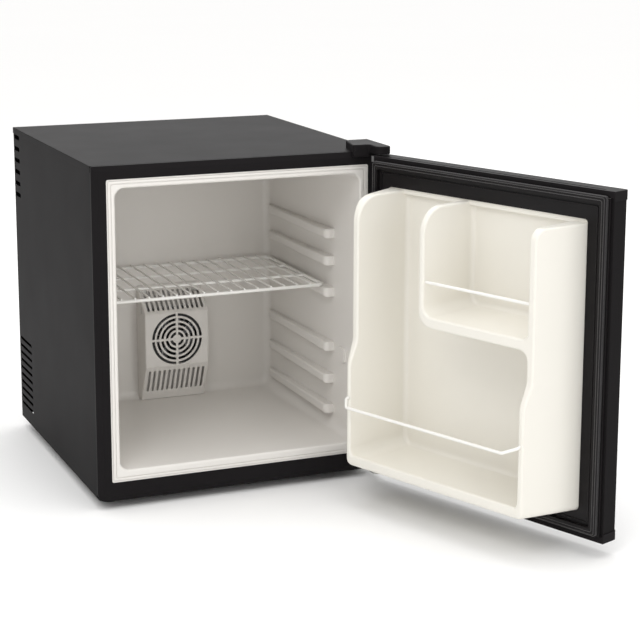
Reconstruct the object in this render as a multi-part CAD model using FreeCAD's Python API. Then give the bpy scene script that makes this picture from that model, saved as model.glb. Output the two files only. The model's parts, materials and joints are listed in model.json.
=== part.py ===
import FreeCAD, Part
import math
import os

# Compact refrigerator with one hinged door, cooled by a thermoelectric module.
# Millimetres. +Z is up, the front faces -Y and the door's hinge is on the +X side.
# Origin: on the floor, below the middle of the cabinet's width and of its side panels' depth.
# The door is modelled closed and then turned to its rest opening.

# Cabinet
WIDTH = 438.0
BASE_Z = 12.0
TOP_Z = 497.0
PANEL_FRONT = -226.5
PANEL_BACK = 225.0
SHEET = 0.8
HALF = WIDTH / 2
PANEL_OUT = HALF - SHEET
PANEL_IN = PANEL_OUT - SHEET
TOP_UNDER = TOP_Z - SHEET
PAN_Z = 17.0
PAN_RIM = 10.0
TOP_LIP = 9.0
PANEL_FLANGE = 18.0
THROUGH = 1.0

# Vents in both side panels, near the back
UPPER_VENTS = 6
UPPER_VENT_LOW = 387.0
UPPER_VENT_PITCH = 18.5
UPPER_VENT_HEIGHT = 7.0
UPPER_VENT_FRONT = 188.0
UPPER_VENT_BACK = 220.0
LOWER_VENTS = 10
LOWER_VENT_LOW = 40.0
LOWER_VENT_PITCH = 12.2
LOWER_VENT_HEIGHT = 5.0
LOWER_VENT_FRONT = 146.0
LOWER_VENT_BACK = 218.0

# Feet: round pads, the front pair on threaded studs in weld nuts
FOOT_X = 190.0
FRONT_FOOT_Y = -186.0
REAR_FOOT_Y = 190.0
PAD_R = 16.0
PAD_HEIGHT = 10.0
PAD_EDGE = 1.5
STUD_R = 3.95
STUD_TOP = 35.0
NUT_BORE = 4.0
NUT_ACROSS = 13.0
NUT_HEIGHT = 6.5
WELL_R = 8.5
WELL_TOP = 45.0
FOAM_LOW = PAN_Z + SHEET

# Screws
SCREW_HOLE = 1.8
SCREW_R = 1.6
SCREW_HEAD_R = 3.4
SCREW_HEAD = 2.2
SCREW_SLOT_HALF = 2.4
HINGE_SCREW_LENGTH = 14.0
DUCT_SCREW_LENGTH = 16.0
COVER_SCREW_LENGTH = 8.0
COVER_SCREW_X = 207.0
COVER_SCREW_Z = (60.0, 255.0, 450.0)
DUCT_SCREWS = ((-42.0, 236.0), (42.0, 236.0))
TOP_BRACKET_SCREWS = ((205.0, -198.0), (205.0, -211.0))
LOW_BRACKET_SCREWS = ((207.0, -201.0), (207.0, -211.0))

# Front frame
FRAME_FACE = -235.7
FRAME_BACK = -228.5
FRAME_BEVEL = 8.0
FRAME_BEVEL_DEPTH = 3.0
FRAME_NECK = 3.0
FRAME_LOW_RADIUS = 15.0
FRAME_TOP_RADIUS = 3.0
OPENING_HALF = 198.5
OPENING_LOW = 40.0
OPENING_HIGH = 478.0
OPENING_RADIUS = 3.0
SPIGOT_BACK = -216.0

# Inner liner
LINER_SKIN = 2.0
RIM_FACE = FRAME_FACE + 0.5
MOUTH_HALF = 185.7
MOUTH_LOW = 56.7
MOUTH_HIGH = 464.8
MOUTH_RADIUS = 14.0
CAVITY_BACK = 107.5
BACK_HALF = 175.0
BACK_LOW = 60.0
BACK_HIGH = 461.0
BACK_RADIUS = 20.0
BACK_FILLET = 12.0
MOUTH_LIP = 3.0
RIM_FIT = 0.2
RIM_GROOVES = ((1.8, 2.6), (6.0, 7.2))
GROOVE_DEPTH = 1.0
RIB_TIP = 168.0
RIB_FRONT = -147.0
RIB_BACK = 95.0
RIB_HEIGHT = 14.0
RIB_NOSE = 9.0
RIB_EDGE = 3.0
RIB_LEVELS = (78.0, 126.0, 177.0, 262.0, 311.0, 353.0)
LUG_FACE = 180.6
LUG_FRONT = -190.0
LUG_BACK = -170.0
LUG_LOW = 167.0
LUG_HIGH = 189.0

# Cooling unit, centred on one horizontal axis through the back wall
UNIT_Z = 163.5
FOAM_BACK = 142.0
BLOCK = 40.0
MODULE_THICK = 3.8
COVER_HALF = 53.5
COVER_FRONT = 64.3
COVER_LOW = 60.4
COVER_TOP = 247.0
COVER_SLOPE_TOP = 207.0
COVER_SLOPE_LOW = 120.5
COVER_HEEL = 12.2
COVER_SKIN = 2.0
LOUVRES = 12
LOUVRE_PITCH = 8.2
LOUVRE_HALF = 2.0
UPPER_LOUVRE = (211.0, 238.0)
LOWER_LOUVRE = (76.0, 113.0)
SIDE_SLOT = (78.0, 84.0, 205.0, 215.0)
GRILLE_RADIUS = 42.0
GRILLE_RINGS = 5
GRILLE_PITCH = 7.6
GRILLE_SLOT = 4.4
GRILLE_SPOKE = 1.8
SHAFT_R = 1.5
RUNNING_GAP = 0.05
COLD_FAN_Y = 67.0
COLD_FAN_DEPTH = 20.0
COLD_FAN_SIZE = 80.0
COLD_FAN_BORE = 38.0
COLD_ROTOR_DEPTH = 14.0
HOT_FAN_Y = 186.0
HOT_FAN_DEPTH = 25.0
HOT_FAN_SIZE = 92.0
HOT_FAN_BORE = 44.0
HOT_ROTOR_DEPTH = 19.0
FAN_BLADES = 7
FAN_HUB_R = 13.0
FAN_ARM = 2.5
MOTOR_PLATE = 3.0
MOTOR_R = 14.0
BLADE_TURN = 40.0
FIN = 1.4
COLD_FIN_PITCH = 5.5
HOT_FIN_PITCH = 6.0

# Back of the cabinet
REAR_FACE = 226.5
REAR_GAP_LOW = 3.0
REAR_GAP_HIGH = 0.3
REAR_RADIUS = 1.0
REAR_SLOTS = ((9, 119.5, 60.0), (6, 300.0, 90.0))
REAR_SLOT_PITCH = 11.0
REAR_SLOT_HALF = 2.5
KNOB_X = 130.0
KNOB_Z = 430.0
KNOB_R = 17.0
KNOB_SHAFT_R = 3.0
GLAND_X = -165.0
GLAND_Z = 52.0
GLAND_R = 8.0
GLAND_BORE = 3.6
GLAND_FRONT = 215.0
GLAND_END = 229.0

# Wire shelf
SHELF_HALF = 173.5
SHELF_FRONT = -132.0
SHELF_BACK = 98.0
SHELF_Z = 278.8
RAIL_R = 2.5
WIRE_R = 1.5
SHELF_GAPS = 16
SHELF_CROSS = (-55.0, 22.0)
SHELF_BEND = 8.0

# Hinge
HINGE_X = 211.4
HINGE_Y = -263.6
REST_OPENING = 110.7
PIN_R = 3.5
PIN_HEAD = 1.5
BRACKET = 3.0
LOW_BRACKET_X0 = 196.0
HINGE_COVER_HIGH = 508.0
HINGE_COVER_WALL = 1.6

# Door, measured from the hinge axis: u across towards the free edge, n towards the cabinet
DOOR_U0 = -7.6
DOOR_U1 = DOOR_U0 + WIDTH
DOOR_OUTER = -10.0
DOOR_INNER = 19.8
DOOR_LOW = 21.7
DOOR_HIGH = 494.8
CAP_SKIRT = 13.0
CAP_INNER_SKIRT = 9.0
CAP_PLATE = 3.0
CAP_WALL = 1.0
CAP_GROOVE = 1.2
BUSH_R = 5.5
BUSH_LENGTH = 16.0
TAB_U0 = -5.6
TAB_U1 = -1.7
CUP_U0 = 388.0
CUP_U1 = 418.0
CUP_LOW = 215.0
CUP_HIGH = 325.0
CUP_DEPTH = 16.0
CUP_SKIN = 1.6
CUP_RADIUS = 6.2
DOOR_RADIUS = 5.0
RETURN = 6.0

# Door liner
FLANGE_U0 = DOOR_U0 + RETURN + 0.2
FLANGE_U1 = DOOR_U1 - RETURN - 0.2
FLANGE_LOW = DOOR_LOW + CAP_INNER_SKIRT + 0.3
FLANGE_HIGH = DOOR_HIGH - CAP_INNER_SKIRT - 0.3
BASE_U0 = 25.0
BASE_U1 = 389.5
BASE_LOW = 58.0
BASE_HIGH = 454.0
BASE_RADII = (10.0, 8.0, 5.0, 12.0)
DYKE_DEEP = 122.0
DYKE_SHALLOW = 108.0
BAY_FLOOR = 12.0
BAY_DRAFT = 0.035
BAY_LEFT = 56.0
BAY_RIGHT = 365.0
BAY_LOW = 72.0
POCKET_UNDER = 288.0
POCKET_FLOOR = 303.0
POCKET_LEFT = 172.0
POCKET_INSIDE = 181.0
RECESS_HIGH = 447.0
ABOVE_DOOR = 480.0
SEAM_ANGLE = 25.0
LINER_EDGE = 3.2
BAY_CORNER = 7.0
RAIL_WIRE_R = 2.1
UPPER_RAIL_Z = 350.0
UPPER_RAIL_N = 102.0

# Door gasket
WEB = 2.0
BULB_U0 = 1.5
BULB_U1 = 421.3
BULB_LOW = 31.5
BULB_HIGH = 488.0
BULB_WIDTH = 10.0
BULB_SKIN = 1.4
BULB_TOP = 27.4


# ---------------------------------------------------------------- helpers

def vec(x, y, z):
    return FreeCAD.Vector(x, y, z)


def box(x0, x1, y0, y1, z0, z1):
    return Part.makeBox(x1 - x0, y1 - y0, z1 - z0, vec(x0, y0, z0))


def rod(start, end, radius):
    axis = end - start
    return Part.makeCylinder(radius, axis.Length, start, axis)


def rod_y(x, z, y0, y1, radius):
    return rod(vec(x, y0, z), vec(x, y1, z), radius)


def rod_z(x, y, z0, z1, radius):
    return rod(vec(x, y, z0), vec(x, y, z1), radius)


def shifted(points, distance):
    """Move every side of an anticlockwise polygon inwards by a distance, or outwards by a negative one."""
    moved = []
    for i, (a, b) in enumerate(points):
        before = vec(a - points[i - 1][0], b - points[i - 1][1], 0).normalize()
        following = points[(i + 1) % len(points)]
        after = vec(following[0] - a, following[1] - b, 0).normalize()
        normal_sum = vec(-before.y - after.y, before.x + after.x, 0)
        scale = distance / (normal_sum.Length ** 2 / 2)
        moved.append((a + normal_sum.x * scale, b + normal_sum.y * scale))
    return moved


def outline(points, radii, place):
    """Closed wire round a polygon with a radius at each corner; place puts (a, b) in space."""
    stretches = []
    for i, (a, b) in enumerate(points):
        corner = vec(a, b, 0)
        back = (vec(points[i - 1][0], points[i - 1][1], 0) - corner).normalize()
        following = points[(i + 1) % len(points)]
        ahead = (vec(following[0], following[1], 0) - corner).normalize()
        half = back.getAngle(ahead) / 2
        reach = radii[i] / math.tan(half)
        centre = corner + (back + ahead).normalize() * (radii[i] / math.sin(half))
        middle = centre - (back + ahead).normalize() * radii[i]
        stretches.append([corner + back * reach, middle, corner + ahead * reach])
    edges = []
    for i, stretch in enumerate(stretches):
        first, middle, last = [place(p.x, p.y) for p in stretch]
        if radii[i] > 0:
            edges.append(Part.Arc(first, middle, last).toShape())
        following = stretches[(i + 1) % len(stretches)][0]
        edges.append(Part.makeLine(last, place(following.x, following.y)))
    return Part.Wire(edges)


def rectangle(a0, a1, b0, b1):
    return [(a0, b0), (a1, b0), (a1, b1), (a0, b1)]


def plate_y(points, radii, y0, y1):
    """Outline in x and z, swept from y0 to y1."""
    wire = outline(points, radii, lambda a, b: vec(a, y0, b))
    return Part.Face(wire).extrude(vec(0, y1 - y0, 0))


def plate_x(points, radii, x0, x1):
    """Outline in y and z, swept from x0 to x1."""
    wire = outline(points, radii, lambda a, b: vec(x0, a, b))
    return Part.Face(wire).extrude(vec(x1 - x0, 0, 0))


def plate_z(points, radii, z0, z1):
    """Outline in x and y, swept from z0 to z1."""
    wire = outline(points, radii, lambda a, b: vec(a, b, z0))
    return Part.Face(wire).extrude(vec(0, 0, z1 - z0))


def frustum_y(points0, radii0, y0, points1, radii1, y1):
    near = outline(points0, radii0, lambda a, b: vec(a, y0, b))
    far = outline(points1, radii1, lambda a, b: vec(a, y1, b))
    return Part.makeLoft([near, far], True, True)


def pipe(points, bends, radius):
    """Round wire along an open path with a bend radius at each inner point."""
    edges = []
    last = points[0]
    for i in range(1, len(points) - 1):
        back = (points[i - 1] - points[i]).normalize()
        ahead = (points[i + 1] - points[i]).normalize()
        half = back.getAngle(ahead) / 2
        reach = bends[i - 1] / math.tan(half)
        centre = points[i] + (back + ahead).normalize() * (bends[i - 1] / math.sin(half))
        middle = centre - (back + ahead).normalize() * bends[i - 1]
        edges.append(Part.makeLine(last, points[i] + back * reach))
        edges.append(Part.Arc(points[i] + back * reach, middle, points[i] + ahead * reach).toShape())
        last = points[i] + ahead * reach
    edges.append(Part.makeLine(last, points[-1]))
    start = points[1] - points[0]
    section = Part.Wire(Part.makeCircle(radius, points[0], start))
    return Part.Wire(edges).makePipeShell([section], True, False)


def fused(shapes):
    return shapes[0].fuse(shapes[1:]).removeSplitter()


def mirrored(shape):
    return shape.mirror(vec(0, 0, 0), vec(1, 0, 0))


# ---------------------------------------------------------------- cabinet shell

def slot_row(count, low, pitch, height, front, back):
    """Level slots with rounded ends, one above another, through both side walls."""
    end = height * 0.45
    levels = [low + pitch * i for i in range(count)]
    return [plate_x(rectangle(front, back, z, z + height), [end] * 4, -HALF, HALF) for z in levels]


def vent_slots():
    upper = slot_row(UPPER_VENTS, UPPER_VENT_LOW, UPPER_VENT_PITCH, UPPER_VENT_HEIGHT,
                     UPPER_VENT_FRONT, UPPER_VENT_BACK)
    lower = slot_row(LOWER_VENTS, LOWER_VENT_LOW, LOWER_VENT_PITCH, LOWER_VENT_HEIGHT,
                     LOWER_VENT_FRONT, LOWER_VENT_BACK)
    return upper + lower


def right_side_panel():
    sheet = box(PANEL_IN, PANEL_OUT, PANEL_FRONT, PANEL_BACK, PAN_Z, TOP_UNDER)
    notch = 4.0
    rear = box(PANEL_IN - PANEL_FLANGE, PANEL_IN, PANEL_BACK - SHEET, PANEL_BACK,
               PAN_Z + notch, TOP_UNDER - notch)
    holes = [rod_y(COVER_SCREW_X, z, PANEL_BACK - 2, PANEL_BACK + 2, SCREW_HOLE) for z in COVER_SCREW_Z]
    return sheet.fuse(rear).cut(vent_slots() + holes)


def left_side_panel():
    return mirrored(right_side_panel())


def top_panel():
    sheet = box(-HALF, HALF, PANEL_FRONT, PANEL_BACK, TOP_UNDER, TOP_Z)
    lips = [
        box(-HALF, -PANEL_OUT, PANEL_FRONT, PANEL_BACK, TOP_Z - TOP_LIP, TOP_UNDER),
        box(PANEL_OUT, HALF, PANEL_FRONT, PANEL_BACK, TOP_Z - TOP_LIP, TOP_UNDER),
    ]
    panel = fused([sheet] + lips)
    upper = [e for e in panel.Edges if e.CenterOfMass.z > TOP_Z - 0.01]
    long_edges = [e for e in upper if abs(e.CenterOfMass.x) > HALF - 0.01]
    panel = panel.makeFillet(SHEET * 0.9, long_edges)
    holes = [rod_z(x, y, TOP_UNDER - THROUGH, TOP_Z + THROUGH, SCREW_HOLE) for x, y in TOP_BRACKET_SCREWS]
    return panel.cut(holes)


def bottom_pan():
    floor = box(-PANEL_IN, PANEL_IN, PANEL_FRONT, PANEL_BACK - SHEET, PAN_Z, PAN_Z + SHEET)
    back = box(-PANEL_IN + PANEL_FLANGE, PANEL_IN - PANEL_FLANGE, PANEL_BACK - 2 * SHEET,
               PANEL_BACK - SHEET, PAN_Z, PAN_Z + PAN_RIM)
    low = PAN_Z - THROUGH
    high = FOAM_LOW + THROUGH
    studs = [rod_z(x, FRONT_FOOT_Y, low, high, STUD_R + 0.5) for x in (-FOOT_X, FOOT_X)]
    screws = [rod_z(x, y, low, high, SCREW_HOLE) for x, y in LOW_BRACKET_SCREWS]
    return fused([floor, back]).cut(studs + screws)


def front_frame():
    body = rectangle(-HALF, HALF, BASE_Z, TOP_Z)
    radii = [FRAME_LOW_RADIUS, FRAME_LOW_RADIUS, FRAME_TOP_RADIUS, FRAME_TOP_RADIUS]
    bevel_radii = [FRAME_LOW_RADIUS - FRAME_BEVEL, FRAME_LOW_RADIUS - FRAME_BEVEL, 1.0, 1.0]
    bevel_y = FRAME_FACE + FRAME_BEVEL_DEPTH
    plate = plate_y(body, radii, bevel_y, FRAME_BACK)
    bevel = frustum_y(body, radii, bevel_y, shifted(body, FRAME_BEVEL), bevel_radii, FRAME_FACE)
    neck = plate_y(shifted(body, FRAME_NECK), [r * 0.8 for r in radii], FRAME_BACK, PANEL_FRONT)
    spigot = plate_y(shifted(body, FRAME_NECK * 2), [r * 0.6 for r in radii], PANEL_FRONT, SPIGOT_BACK)
    front = FRAME_FACE - THROUGH
    back = SPIGOT_BACK + THROUGH
    opening = plate_y(rectangle(-OPENING_HALF, OPENING_HALF, OPENING_LOW, OPENING_HIGH),
                      [OPENING_RADIUS] * 4, front, back)
    notch = box(LOW_BRACKET_X0 - 0.3, HALF + THROUGH, front, back, BASE_Z - THROUGH, PAN_Z + 0.3)
    return fused([plate, bevel, neck, spigot]).cut([opening, notch])


# ---------------------------------------------------------------- cabinet interior

def tub(grow):
    """The cavity's space from its mouth to its back wall, larger by a skin when asked."""
    mouth = shifted(rectangle(-MOUTH_HALF, MOUTH_HALF, MOUTH_LOW, MOUTH_HIGH), -grow)
    back = shifted(rectangle(-BACK_HALF, BACK_HALF, BACK_LOW, BACK_HIGH), -grow)
    space = frustum_y(mouth, [MOUTH_RADIUS + grow] * 4, RIM_FACE, back, [BACK_RADIUS + grow] * 4,
                      CAVITY_BACK + grow)
    edges = [e for e in space.Edges if e.CenterOfMass.y > CAVITY_BACK + grow - 0.01]
    return space.makeFillet(BACK_FILLET + grow, edges)


def ribs():
    """Level ribs along both side walls; the wire shelf rests on one pair of them."""
    shapes = []
    for level in RIB_LEVELS:
        top = level + RIB_HEIGHT
        section = [(RIB_TIP, level), (HALF, level), (HALF, top), (RIB_TIP, top)]
        rib = plate_y(section, [RIB_EDGE, 0, 0, RIB_EDGE], RIB_FRONT, RIB_BACK)
        plan = plate_z(rectangle(RIB_TIP, HALF, RIB_FRONT, RIB_BACK), [RIB_NOSE, 0, 0, RIB_NOSE],
                       level, top)
        rib = rib.common(plan)
        shapes += [rib, mirrored(rib)]
    return shapes


def inner_liner():
    """Formed tub with a grooved rim, shelf ribs and one small lug near the hinge-side mouth."""
    rim = rectangle(-OPENING_HALF + RIM_FIT, OPENING_HALF - RIM_FIT, OPENING_LOW + RIM_FIT,
                    OPENING_HIGH - RIM_FIT)
    rim_radii = [OPENING_RADIUS - RIM_FIT] * 4
    flange = plate_y(rim, rim_radii, RIM_FACE, RIM_FACE + LINER_SKIN)
    grooves = []
    for start, end in RIM_GROOVES:
        outside = plate_y(shifted(rim, start), rim_radii, RIM_FACE, RIM_FACE + GROOVE_DEPTH)
        grooves.append(outside.cut(plate_y(shifted(rim, end), rim_radii, RIM_FACE, RIM_FACE + GROOVE_DEPTH)))
    around = tub(LINER_SKIN)
    shell = flange.fuse(around).cut([tub(0)] + grooves)
    lip = [e for e in shell.Edges if e.CenterOfMass.y < RIM_FACE + 0.01 and on_mouth(e)]
    shell = shell.makeFillet(MOUTH_LIP, lip)
    bars = [rib.common(around) for rib in ribs()]
    lug = plate_x(rectangle(LUG_FRONT, LUG_BACK, LUG_LOW, LUG_HIGH), [MOUTH_LIP] * 4, LUG_FACE, MOUTH_HALF)
    hole = BLOCK / 2 + 1
    wall = (CAVITY_BACK - THROUGH, CAVITY_BACK + LINER_SKIN + THROUGH)
    port = box(-hole, hole, *wall, UNIT_Z - hole, UNIT_Z + hole)
    screws = [rod_y(x, z, *wall, SCREW_HOLE) for x, z in DUCT_SCREWS]
    return shell.fuse(bars + [lug.common(around)]).removeSplitter().cut([port] + screws)


def on_mouth(edge):
    """True for the edges where the rim turns into the cavity's walls."""
    p = edge.CenterOfMass
    return abs(p.x) < MOUTH_HALF + 0.1 and MOUTH_LOW - 0.1 < p.z < MOUTH_HIGH + 0.1


def cabinet_foam():
    block = box(-PANEL_IN + 0.1, PANEL_IN - 0.1, SPIGOT_BACK + 0.2, FOAM_BACK, FOAM_LOW, TOP_UNDER - 0.1)
    hole = BLOCK / 2 + 0.5
    port = box(-hole, hole, CAVITY_BACK, FOAM_BACK + THROUGH, UNIT_Z - hole, UNIT_Z + hole)
    low = FOAM_LOW - THROUGH
    wells = [rod_z(x, FRONT_FOOT_Y, low, WELL_TOP, WELL_R) for x in (-FOOT_X, FOOT_X)]
    tips = [rod_z(x, y, low, FOAM_LOW + HINGE_SCREW_LENGTH, WELL_R) for x, y in LOW_BRACKET_SCREWS]
    tops = [rod_z(x, y, TOP_UNDER - HINGE_SCREW_LENGTH, TOP_UNDER, WELL_R) for x, y in TOP_BRACKET_SCREWS]
    ducts = [rod_y(x, z, CAVITY_BACK, CAVITY_BACK + DUCT_SCREW_LENGTH, SCREW_HOLE) for x, z in DUCT_SCREWS]
    return block.cut([tub(LINER_SKIN), port] + wells + tips + tops + ducts)


# ---------------------------------------------------------------- feet

def foot_pad(x, y):
    pad = rod_z(x, y, 0, PAD_HEIGHT, PAD_R)
    return pad.makeFillet(PAD_EDGE, [e for e in pad.Edges if len(e.Vertexes) == 1])


def rear_feet():
    neck_r = PAD_R * 0.7
    feet = []
    for x in (-FOOT_X, FOOT_X):
        neck = rod_z(x, REAR_FOOT_Y, PAD_HEIGHT / 2, PAN_Z, neck_r)
        feet.append(fused([foot_pad(x, REAR_FOOT_Y), neck]))
    return Part.makeCompound(feet)


def front_foot(x):
    """Round pad on a threaded stud; turning it levels the cabinet."""
    return fused([foot_pad(x, FRONT_FOOT_Y), rod_z(x, FRONT_FOOT_Y, PAD_HEIGHT / 2, STUD_TOP, STUD_R)])


def front_left_foot():
    return front_foot(-FOOT_X)


def front_right_foot():
    return front_foot(FOOT_X)


def foot_nuts():
    """Weld nuts inside the bottom pan, one over each front foot."""
    reach = NUT_ACROSS / math.sqrt(3)
    corners = [(reach * math.cos(math.pi / 3 * i), reach * math.sin(math.pi / 3 * i)) for i in range(6)]
    nuts = []
    for x in (-FOOT_X, FOOT_X):
        points = [(x + a, FRONT_FOOT_Y + b) for a, b in corners]
        nut = plate_z(points, [0] * 6, FOAM_LOW, FOAM_LOW + NUT_HEIGHT)
        bore = rod_z(x, FRONT_FOOT_Y, PAN_Z, FOAM_LOW + NUT_HEIGHT + THROUGH, NUT_BORE)
        nuts.append(nut.cut(bore))
    return Part.makeCompound(nuts)


# ---------------------------------------------------------------- cooling unit

def duct_profile(inset):
    points = [(90.0, COVER_LOW), (CAVITY_BACK, COVER_LOW), (CAVITY_BACK, COVER_TOP),
              (COVER_FRONT, COVER_SLOPE_TOP), (COVER_FRONT, COVER_SLOPE_LOW)]
    return shifted(points, inset)


def duct_cover():
    """Hood on the back wall: louvred slopes above and below a round fan grille."""
    outer = plate_x(duct_profile(0), [0, COVER_HEEL, 0, 4, 4], -COVER_HALF, COVER_HALF)
    ends = [e for e in outer.Edges if abs(abs(e.CenterOfMass.x) - COVER_HALF) < 0.01]
    visible = [e for e in ends if e.CenterOfMass.y < 90 and e.CenterOfMass.z > COVER_LOW + 1]
    outer = outer.makeFillet(2.5, visible)
    inner_x = COVER_HALF - COVER_SKIN
    hollow = plate_x(duct_profile(COVER_SKIN), [0, COVER_HEEL - COVER_SKIN, 0, 2, 2], -inner_x, inner_x)
    back = box(-inner_x, inner_x, CAVITY_BACK - COVER_SKIN - 1, CAVITY_BACK + THROUGH,
               COVER_LOW + COVER_HEEL + COVER_SKIN, COVER_TOP - 5.5)
    cuts = [hollow, back] + grille_slots()
    for i in range(LOUVRES):
        x = (i - (LOUVRES - 1) / 2) * LOUVRE_PITCH
        for low, high in (UPPER_LOUVRE, LOWER_LOUVRE):
            slot = rectangle(x - LOUVRE_HALF, x + LOUVRE_HALF, low, high)
            cuts.append(plate_y(slot, [LOUVRE_HALF * 0.9] * 4, COVER_FRONT - 5, CAVITY_BACK - 4))
    cuts.append(box(-COVER_HALF - THROUGH, -inner_x + THROUGH, *SIDE_SLOT))
    for x, z in DUCT_SCREWS:
        cuts.append(rod_y(x, z, COVER_FRONT, CAVITY_BACK, SCREW_HEAD_R + 0.2))
    cover = outer.cut(cuts)
    bosses = []
    for x, z in DUCT_SCREWS:
        boss = rod_y(x, z, CAVITY_BACK - 8, CAVITY_BACK, SCREW_HEAD_R + 2.2)
        well = rod_y(x, z, CAVITY_BACK - 9, CAVITY_BACK - 3, SCREW_HEAD_R + 0.2)
        hole = rod_y(x, z, CAVITY_BACK - 9, CAVITY_BACK + THROUGH, SCREW_HOLE)
        bosses.append(boss.cut([well, hole]).common(outer))
    return cover.fuse(bosses).removeSplitter()


def grille_slots():
    """Rings of slots parted by four spokes, round a small hub."""
    y0 = COVER_FRONT - THROUGH
    y1 = COVER_FRONT + COVER_SKIN + THROUGH
    wide = GRILLE_RADIUS + 1
    spokes = fused([
        box(-wide, wide, y0 - 1, y1 + 1, UNIT_Z - GRILLE_SPOKE, UNIT_Z + GRILLE_SPOKE),
        box(-GRILLE_SPOKE, GRILLE_SPOKE, y0 - 1, y1 + 1, UNIT_Z - wide, UNIT_Z + wide),
    ])
    slots = []
    for i in range(GRILLE_RINGS):
        outer = GRILLE_RADIUS - GRILLE_PITCH * i
        inside = rod_y(0, UNIT_Z, y0 - 1, y1 + 1, outer - GRILLE_SLOT)
        slots.append(rod_y(0, UNIT_Z, y0, y1, outer).cut([inside, spokes]))
    return slots


def screw_y(x, z, seat, length):
    """Screw driven towards +Y whose head's underside is at seat, with the head on the -Y side."""
    head = rod_y(x, z, seat - SCREW_HEAD, seat, SCREW_HEAD_R)
    slot = box(x - SCREW_SLOT_HALF, x + SCREW_SLOT_HALF, seat - SCREW_HEAD - 0.1, seat - SCREW_HEAD / 2,
               z - 0.5, z + 0.5)
    return fused([head, rod_y(x, z, seat - 1, seat + length, SCREW_R)]).cut(slot)


def duct_cover_screws():
    return Part.makeCompound([screw_y(x, z, CAVITY_BACK - 3, DUCT_SCREW_LENGTH) for x, z in DUCT_SCREWS])


def fan_frame(size, bore, y0, y1):
    """Square fan housing with a round duct, a motor plate on four arms and a shaft bearing."""
    half = size / 2
    frame = plate_y(rectangle(-half, half, UNIT_Z - half, UNIT_Z + half), [4.0] * 4, y0, y1)
    frame = frame.cut(rod_y(0, UNIT_Z, y0 - 1, y1 + 1, bore))
    plate_y0 = y1 - MOTOR_PLATE
    far = bore + 1.5
    plate = fused([
        rod_y(0, UNIT_Z, plate_y0, y1, MOTOR_R),
        box(-far, far, plate_y0, y1, UNIT_Z - FAN_ARM, UNIT_Z + FAN_ARM),
        box(-FAN_ARM, FAN_ARM, plate_y0, y1, UNIT_Z - far, UNIT_Z + far),
    ])
    ears = half - 4.5
    holes = [rod_y(sx * ears, UNIT_Z + sz * ears, y0 - 1, y1 + 1, 2.0) for sx in (-1, 1) for sz in (-1, 1)]
    bearing = rod_y(0, UNIT_Z, y0 - 1, y1 + 1, SHAFT_R + RUNNING_GAP)
    return fused([frame, plate]).cut(holes + [bearing])


def fan_rotor(y0, y1, shaft_end, tip):
    """Hub with pitched blades and the shaft that runs in the housing's bearing."""
    mid = (y0 + y1) / 2
    depth = (y1 - y0) * 0.42
    shapes = [rod_y(0, UNIT_Z, y0, y1, FAN_HUB_R)]
    for i in range(FAN_BLADES):
        blade = box(FAN_HUB_R - 2, tip + 1, mid - 0.8, mid + 0.8, UNIT_Z - depth, UNIT_Z + depth)
        blade.rotate(vec(0, mid, UNIT_Z), vec(1, 0, 0), BLADE_TURN)
        blade.rotate(vec(0, 0, UNIT_Z), vec(0, 1, 0), 360 / FAN_BLADES * i)
        shapes.append(blade)
    swept = rod_y(0, UNIT_Z, y0, y1, tip)
    return fused([fused(shapes).common(swept), rod_y(0, UNIT_Z, y0, shaft_end, SHAFT_R)])


def cold_fan_frame():
    return fan_frame(COLD_FAN_SIZE, COLD_FAN_BORE, COLD_FAN_Y, COLD_FAN_Y + COLD_FAN_DEPTH)


def cold_fan_rotor():
    y0 = COLD_FAN_Y + 1
    shaft_end = COLD_FAN_Y + COLD_FAN_DEPTH - 0.3
    return fan_rotor(y0, y0 + COLD_ROTOR_DEPTH, shaft_end, COLD_FAN_BORE - 1)


def hot_fan_frame():
    return fan_frame(HOT_FAN_SIZE, HOT_FAN_BORE, HOT_FAN_Y, HOT_FAN_Y + HOT_FAN_DEPTH)


def hot_fan_rotor():
    y0 = HOT_FAN_Y + 1
    shaft_end = HOT_FAN_Y + HOT_FAN_DEPTH - 0.3
    return fan_rotor(y0, y0 + HOT_ROTOR_DEPTH, shaft_end, HOT_FAN_BORE - 1)


def finned_sink(half_x, half_z, base_y0, base_y1, tip_y, pitch):
    """Base plate with upright fins from it to tip_y."""
    shapes = [box(-half_x, half_x, base_y0, base_y1, UNIT_Z - half_z, UNIT_Z + half_z)]
    count = int(2 * half_x / pitch)
    low, high = sorted((tip_y, (base_y0 + base_y1) / 2))
    for i in range(count + 1):
        x = -half_x + (2 * half_x - FIN) * i / count
        shapes.append(box(x, x + FIN, low, high, UNIT_Z - half_z, UNIT_Z + half_z))
    return fused(shapes)


def cold_sink():
    return finned_sink(46.0, 45.0, CAVITY_BACK - 4, CAVITY_BACK, 88.0, COLD_FIN_PITCH)


def spacer_block():
    half = BLOCK / 2
    return box(-half, half, CAVITY_BACK, FOAM_BACK - MODULE_THICK, UNIT_Z - half, UNIT_Z + half)


def thermoelectric_module():
    half = BLOCK / 2
    return box(-half, half, FOAM_BACK - MODULE_THICK, FOAM_BACK, UNIT_Z - half, UNIT_Z + half)


def hot_sink():
    return finned_sink(75.0, 60.0, FOAM_BACK, FOAM_BACK + 6, HOT_FAN_Y - 0.2, HOT_FIN_PITCH)


def power_supply():
    case = plate_y(rectangle(-150.0, -40.0, FOAM_LOW, 78.0), [2.0] * 4, 152.0, 212.0)
    starts = [-140.0 + 12.0 * i for i in range(8)]
    slots = [box(x, x + 6.0, 160.0, 204.0, 76.5, 79.0) for x in starts]
    return case.cut(slots)


# ---------------------------------------------------------------- back of the cabinet

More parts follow.
